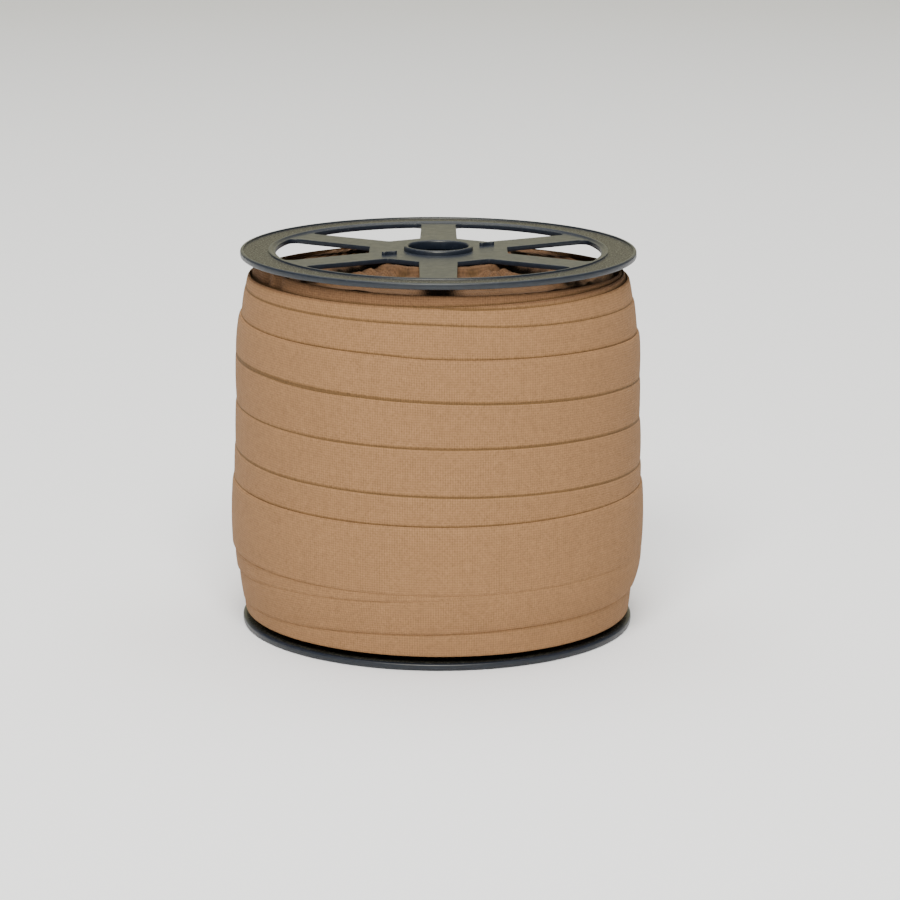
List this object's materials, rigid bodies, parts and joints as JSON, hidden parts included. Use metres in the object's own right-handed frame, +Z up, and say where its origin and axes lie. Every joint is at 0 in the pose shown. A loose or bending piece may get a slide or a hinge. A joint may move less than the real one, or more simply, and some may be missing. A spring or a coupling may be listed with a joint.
{
  "type": "roll of cotton tape on a plastic spool",
  "caption": "Plain bias-folded cotton tape wound in overlapping turns on a flanged plastic spool with spoked ends and a central bore.",
  "frame": {"origin": "centre of the spool's lower flange, on the plane it stands on", "axes": "+Z up along the spool's bore axis, -Y towards the side the picture shows, with one spoke of each flange pointing to -Y"},
  "size_m": [0.1108, 0.1108, 0.1018],
  "materials": {
    "spool_plastic": "moulded black plastic with a satin sheen and fine wear",
    "cotton_tape": "matt plain-woven cotton cut on the bias, tan"
  },
  "bodies": {
    "root": {"spool_flange_top": "spool_plastic", "spool_flange_bottom": "spool_plastic", "spool_core": "spool_plastic", "spool_bore_tube": "spool_plastic", "tape_winding": "cotton_tape"}
  },
  "joints": []
}
